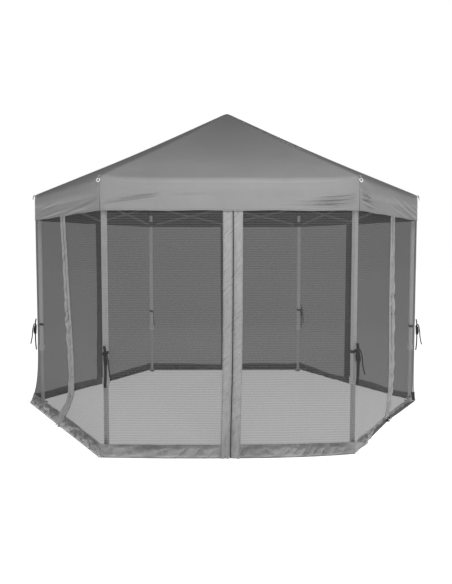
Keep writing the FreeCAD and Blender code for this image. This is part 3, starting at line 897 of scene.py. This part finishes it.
def zip_stray(side, z):
    """How far a side's zip strays along the side from its middle."""
    fine = np.linspace(0, STRAY_HEIGHTS[-1], 40)
    rough = np.interp(fine, STRAY_HEIGHTS, ZIP_STRAY[side])
    padded = np.pad(rough, 2, mode="edge")
    eased = np.convolve(padded, (0.1, 0.25, 0.3, 0.25, 0.1), mode="valid")
    return np.interp(z, fine, eased)


def wall_wave(side, psi, z):
    """Billows and creases of a wall out of its plane. psi is -1 to 1 along the side."""
    window = (1 - psi**10) * smooth(1 - np.abs(psi), 0.0, 0.08) * smooth(z, -0.02, 0.25)
    billow = 0.006 * np.sin(2.6 * z + side) * np.sin(4.4 * psi + 1.3 * side) * (1 - smooth(z, 1.4, 1.7))
    ripple = 0.010 * np.sin(13 * psi + 2.0 * side + 5 * z) + 0.006 * np.sin(29 * psi + side)
    return window * (billow + np.exp(-z / 0.16) * ripple)


def wall_point(side, x, z, lift=0.0):
    """A point of a wall, x along the side from its middle, at height z."""
    corner = nearest_corner(side, np.mean(x))
    share = np.clip(1 - z / FLARE_HEIGHT, 0, 1) ** 7
    normal, sideways = side_normal(side), side_along(side)
    first = corner == side
    s = 1 + (x if first else -x) / HALF_WALL
    stray = zip_stray(side, z) * smooth(s, 0.55, 1.0)
    mine = FLARES[side]
    other = FLARES[(side - 1 if first else side + 1) % CORNERS]
    here, there = (mine.first, other.last) if first else (mine.last, other.first)
    hand = -1 if first else 1
    slip = hand * (there - here / 2) / APOTHEM_SHARE * np.clip(1 - s, 0, 1) ** 2
    out = (WALL_RADIUS - 0.002) * APOTHEM_SHARE + mine.out(x, first) * share
    hang_in = TUCK[side] * smooth(1.9 - z, 0.0, 1.5) * smooth(z, 0.0, 0.3) * (1 - (1 - s) ** 2)
    out = out + wall_wave(side, x / HALF_WALL, z) + lift - hang_in - sink(side, x) * share
    point = along(normal, out) + along(sideways, x + stray + slip * share)
    eave_drop = EAVE_SAG + EAVE_ROUND
    under_eave = (eave_drop * (1 - (1 - s) ** 9) + UNDER_EAVE) * smooth(z, 1.72, WALL_TOP)
    sunk = z - sink(side, x) * np.clip(1 - z / SPREAD_HEIGHT, 0, 1)
    point = point - along(normal, np.minimum(sunk, 0))
    point[..., 2] = np.maximum(sunk, 0.0) - under_eave
    return point


def sink(side, x):
    """How much of the hem lies flat on the ground, spread outwards."""
    if side == SPREAD_SIDE:
        return 0.062 * smooth(x, -0.75, -0.25) * (1 - 0.3 * smooth(x, 0.7, 0.9))
    return HEM_ON_GROUND[side] * (1 + 0.5 * np.sin(6.1 * x + side)) * (1 - (x / HALF_WALL) ** 8)


def hem_wave(side, x, z):
    """The crumpling of the hem strip: slanting folds that die away at its lower edge."""
    bend = 1.3 * np.sin(3.1 * x + side) + 0.8 * np.sin(7.7 * x + 2 * side)
    first = np.abs(np.sin(13 * x + 24 * z * np.sin(2.3 * x + side) + bend + side))
    second = np.abs(np.sin(27 * x - 34 * z + 2 * bend + 2 * side))
    third = np.sin(75 * z - 11 * x + bend) * np.sin(5 * x + 2 * side)
    fine = np.sin(70 * x + 60 * z + side) * np.sin(31 * x - 90 * z)
    ends = smooth(z, 0.0, 0.03) * smooth(HEM_HEIGHT - z, 0.0, 0.025)
    ends = ends * smooth(HALF_WALL - np.abs(x), 0.0, 0.12) * smooth(np.abs(x), 0.068, 0.11)
    ends = ends * (1 - 8 * sink(side, x))
    return (0.022 * first + 0.014 * second + 0.006 * third + 0.003 * fine) * ends


def facing_wave(side, x, z):
    """Creases of a zip facing, away from the zip's teeth."""
    away = smooth(np.abs(x), 0.008, 0.03)
    hand = np.sign(np.mean(x))
    bend = 1.5 * np.sin(2.9 * z + side + hand) + 0.7 * np.sin(8 * z + 2 * side)
    slant = np.abs(np.sin(21 * z + 26 * x + bend + hand))
    slant = slant * (0.5 + 0.5 * np.sin(3.7 * z + 2 * side + hand))
    fine = np.abs(np.sin(47 * z - 60 * x + 2 * bend)) * (0.5 + 0.5 * np.sin(5.1 * z + side - hand))
    low = np.exp(-z / 0.7) * np.abs(np.sin(15 * z + 45 * x + 2 * bend))
    away = away * smooth(FACING_EDGE - np.abs(x), 0.0, 0.012) * (1 - smooth(z, 1.5, 1.68))
    return away * (0.0100 * slant + 0.0045 * fine + 0.0160 * low)


def along_hem(u, v):
    """Places on a cloth whose stitch rows run along the side."""
    return u, v


def along_zip(u, v):
    """Places on a cloth whose stitch rows run up the wall."""
    return v, u


def wall_strip(
    name, side, sign, xs, zs, lift, materials,
    thickness=FABRIC_THICKNESS, wave=None, metric=along_hem, tip=0.3,
):
    """A sheet over part of a wall. xs, times sign, are places along the side from its middle.

    tip leans the way its outer face looks upwards.
    """

    def shape(u, v):
        extra = lift if wave is None else lift + wave(side, sign * u, v)
        return wall_point(side, sign * u, v, extra)

    outward = side_normal(side) + UP * tip
    return sheet_piece(name, shape, xs, zs, outward, materials, metric=metric, thickness=thickness)


def make_walls():
    """Each half wall: a net, a hem strip, and a facing beside the zip."""
    for side, corner, sign, name in halves():
        net_xs = np.linspace(FACING_EDGE - NET_LAP, HALF_WALL, 60)
        net_zs = np.concatenate([spaced(HEM_HEIGHT - 0.006, 0.5, 24), spaced(0.5, WALL_TOP, 40)[1:]])
        screen = wall_strip(f"net_{name}", side, sign, net_xs, net_zs, 0.0, (NET,), thickness=0)
        hang(screen, corner)
        screen.visible_shadow = False
        screen.visible_diffuse = False
        if side == 0 and sign < 0:
            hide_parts("mesh_walls")

        hem_xs = np.linspace(ZIP_GAP / 2, HALF_WALL + 0.002, 150)
        hem_zs = np.linspace(0.0, HEM_HEIGHT, 16)
        cloths = (HEM, INSIDE)
        hem = wall_strip(f"hem_{name}", side, sign, hem_xs, hem_zs, HEM_LIFT, cloths, wave=hem_wave)
        hang(hem, corner)

        xs = np.linspace(ZIP_GAP / 2, FACING_EDGE, 16)
        zs = np.linspace(0.003, WALL_TOP, 220)
        cloths, named = (FACING, INSIDE), f"facing_{name}"
        facing = wall_strip(
            named, side, sign, xs, zs, FACING_LIFT, cloths, wave=facing_wave, metric=along_zip
        )
        hang_at_zip(facing, side, corner)
        if side == FRONT_SIDE and sign < 0:
            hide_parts("front_zip_band")


def make_zips():
    """A coil zip down the middle of each side: two tapes and a chain of teeth."""
    pitch, tooth, tooth_aside = 0.005, (0.0034, 0.002, 0.0017), 0.0009
    tape_half = 0.012
    for side in range(CORNERS):
        xs = np.linspace(-tape_half, tape_half, 5)
        zs = np.linspace(0.002, WALL_TOP, 90)
        name, cloths = f"zip_tape_{side + 1}", (ZIP_TAPE, ZIP_TAPE)
        tape = wall_strip(name, side, 1, xs, zs, TAPE_LIFT, cloths, tip=0)

        def teeth(work, side=side):
            heights = np.arange(0.010, WALL_TOP - 0.002, pitch / 2)
            hands = np.where(np.arange(len(heights)) % 2 == 0, -1.0, 1.0)
            centres = wall_point(side, tooth_aside * hands, heights, TEETH_LIFT)
            turned = side_frame(side) @ Matrix.Diagonal((*tooth, 1))
            for centre in centres:
                place = Matrix.Translation(Vector(centre)) @ turned
                bmesh.ops.create_cube(work, size=1.0, matrix=place)

        chain = join_bmesh(f"zip_chain_{side + 1}", teeth, [ZIP_METAL])
        for piece in (tape, chain):
            hang_at_zip(piece, side, side)


def make_pulls():
    """The zip sliders: a domed body, a bridge, and a tab that hangs from it."""
    height = float(pull_low[2] + pull_high[2]) / 2
    blocks = (  # centre and size, along the side, out of it and up
        ((0, 0.0010, 0.016), (0.011, 0.003, 0.015)),
        ((0, 0.0036, 0.016), (0.004, 0.0022, 0.011)),
        ((0, 0.0030, -0.004), (0.0075, 0.0014, 0.030)),
        ((0, 0.0030, -0.018), (0.0095, 0.002, 0.010)),
    )
    for side in range(CORNERS):
        place_z = height if side == FRONT_SIDE else height + 0.05 * math.sin(3.0 * side)
        base = wall_point(side, np.array(0.0), np.array(place_z), PULL_LIFT)
        origin = Matrix.Translation(Vector(base)) @ side_frame(side)

        def fill(work, origin=origin):
            for centre, size in blocks:
                place = Matrix.Translation(centre) @ Matrix.Diagonal((*size, 1))
                bmesh.ops.create_cube(work, size=1.0, matrix=origin @ place)

        pull = join_bmesh(f"zip_pull_{side + 1}", fill, [ZIP_METAL], bevel=0.0006)
        hang_at_zip(pull, side, side, "front_zip_pull")
        if side == FRONT_SIDE:
            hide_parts("front_zip_pull")


# ---- ties and loops


class Tie(NamedTuple):
    """How a corner's tie hangs.

    hand is the side of the leg it hangs on. aside is how far its knot sits from the corner,
    and spread widens its ends. broad is the bow's width. lean is how far the ends stand out
    of the wall for each metre they go sideways.
    """

    hand: int
    aside: float = 0.012
    spread: float = 1.0
    broad: float = 0.012
    lean: float = -0.3


TIES = [
    Tie(-1, lean=0.9),
    Tie(-1),
    Tie(-1),
    Tie(1, lean=0.9),
    Tie(1, aside=0.026, broad=0.024),
    Tie(1, aside=-0.010, spread=2.0, broad=0.024),
]
TIE_HEIGHT = 0.73
# Each strap's run, sideways and up from the knot.
BOW = [(0.000, 0.060), (0.006, 0.020), (0.008, -0.080), (0.007, -0.170), (0.002, -0.235)]
END = [(0.000, 0.000), (0.016, 0.010), (0.028, -0.040), (0.034, -0.110), (0.046, -0.175)]
LOOP = [(0.000, 0.000), (-0.003, -0.030), (0.006, -0.085), (0.018, -0.060), (0.012, -0.010)]


def around_leg(corner, level):
    """Points around a leg's square tube, with its corners cut."""
    outward, sideways = corner_axes(corner)
    half = 0.0168
    points = []
    for a in np.linspace(0, math.tau, 33)[:-1]:
        reach = half / max(abs(math.cos(a)), abs(math.sin(a)))
        reach = min(reach, half * 1.25)
        offset = outward * math.cos(a) * reach + sideways * math.sin(a) * reach
        points.append(outward * LEG_RADIUS + offset + UP * (level + 0.006 * math.sin(a)))
    return points


def make_ties():
    """A webbing tie around each leg, half-way up, in a bow with two hanging ends."""
    for corner, tie in enumerate(TIES):
        outward, sideways = corner_axes(corner)
        level = TIE_HEIGHT + 0.012 * math.sin(2.6 * corner)
        round_leg = around_leg(corner, level)
        pieces = [ribbon(f"tie_wrap_{corner + 1}", round_leg, UP, 0.022, 0.0014, STRAP, closed=True)]
        facing = sideways if tie.lean > 0 else outward
        seam = outward * (WALL_RADIUS + 0.006)
        knot = seam + sideways * tie.hand * tie.aside + UP * level
        straps = (("bow", BOW, tie.broad), ("end", END, 0.010), ("loop", LOOP, 0.012))
        for label, places, width in straps:
            path = []
            for a, b in places:
                swing = sideways * tie.hand * tie.spread * a + outward * tie.lean * abs(a)
                path.append(knot + swing + UP * b)
            name = f"tie_{label}_{corner + 1}"
            run = curve(path, 22)
            pieces.append(ribbon(name, run, facing, width, 0.0012, STRAP, flat_along=True))
        for piece in pieces:
            attach(piece, f"leg_{corner + 1}")


def make_loops():
    """Elastic peg loops at the hem, at each corner and in the middle of each side."""
    for side in range(CORNERS):
        for place, x in (("corner", -HALF_WALL), ("middle", -0.02)):
            base = wall_point(side, np.array(x), np.array(0.012), 0.004)
            base[2] = max(base[2], 0.011)
            outward = unit(side * STEP) if place == "corner" else side_normal(side)
            sideways = np.cross(UP, outward)
            away = outward * 0.016 - UP * 0.004
            angles = np.linspace(0, math.tau, 25)[:-1]
            hoop = [base + sideways * 0.011 * math.sin(a) + away * (1 - math.cos(a)) for a in angles]
            loop = tube(f"peg_loop_{place}_{side + 1}", hoop, 0.002, WHITE_PLASTIC, closed=True)
            hang(loop, side)


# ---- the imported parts


def dress_nodes():
    """Finishes for the frame's own parts."""
    finishes = {"upper_leg": LEG_COAT, "lower_leg": ZINC, "rafter": SHADED_BAR_COAT, "bar": SHADED_BAR_COAT}
    for name, part in frame["nodes"].items():
        finish = next((finishes[word] for word in finishes if word in name), BLACK_PLASTIC)
        part.data.materials.clear()
        part.data.materials.append(finish)


# ---- camera, light, floor


def make_camera():
    """The photograph's view: eye height, nearly square to the front, and tipped slightly down."""
    heading, down = -0.0126, 3.85  # radians and degrees
    eye = Vector((-0.008, -5.90, 1.448))
    data = bpy.data.cameras.new("camera")
    camera = put("camera", data)
    data.lens = 38.47
    data.clip_end = 60
    camera.location = Matrix.Rotation(heading, 4, "Z") @ eye
    camera.rotation_euler = (math.radians(90 - down), 0, heading)
    bpy.context.scene.camera = camera


def area_light(name, place, target, size, power):
    data = bpy.data.lights.new(name, "AREA")
    data.shape = "RECTANGLE"
    data.size, data.size_y = size
    data.energy = power
    light = put(name, data)
    light.location = place
    aim = Vector(target) - Vector(place)
    light.rotation_euler = aim.to_track_quat("-Z", "Y").to_euler()
    light.visible_camera = False


def make_world():
    """Soft light from all around, weaker from above, and plain white behind the object."""
    world = bpy.data.worlds.new("studio")
    bpy.context.scene.world = world
    world.use_nodes = True
    n = Tree(world.node_tree)
    direction = n.add("ShaderNodeTexCoord").outputs["Generated"]
    height = n.add("ShaderNodeSeparateXYZ", {0: direction}).outputs["Z"]
    soft = n.tree.nodes["Background"]
    n.fill(soft, {"Color": grey(1.0), "Strength": n.ramp(height, 0.0, 0.9, 0.16, 0.10)})
    plain = n.add("ShaderNodeBackground", {"Color": grey(1.0)})
    seen = n.add("ShaderNodeLightPath").outputs["Is Camera Ray"]
    mixed = n.add("ShaderNodeMixShader", {0: seen, 1: soft.outputs[0], 2: plain.outputs[0]})
    n.fill(n.tree.nodes["World Output"], {"Surface": mixed.outputs[0]})


def make_studio():
    bpy.context.scene.view_settings.view_transform = "Standard"
    make_world()
    area_light("key", (0.3, -4.5, 4.1), (0, 0, 1.6), (1.8, 1.2), 115)
    area_light("left_fill", (-4.8, -3.0, 0.9), (-1.3, -0.8, 1.5), (1.6, 1.6), 15)
    area_light("right_fill", (4.8, -3.2, 0.9), (1.3, -0.8, 1.5), (1.6, 1.6), 23)
    area_light("back_fill", (0.5, 5.4, 3.3), (0, 0, 1.6), (2.4, 1.8), 75)
    size = 40
    mesh = bpy.data.meshes.new("floor")
    square = [(-size, -size, 0), (size, -size, 0), (size, size, 0), (-size, size, 0)]
    mesh.from_pydata(square, [], [(0, 1, 2, 3)])
    floor = put("floor", mesh)
    floor.location.z = -0.001  # below the hems
    n = Nodes("floor_paper")
    paper = n.mix_colour(n.noise(1.5, 2.0), grey(0.50), grey(0.52))
    glow = {"Emission Color": grey(1.0), "Emission Strength": 0.99}
    mesh.materials.append(n.look(paper, 0.51, {"Roughness": 0.9, **glow}))


make_camera()
make_studio()
dress_nodes()
make_roof()
make_peak()
make_valance()
make_rings()
make_walls()
make_zips()
make_pulls()
make_ties()
make_loops()
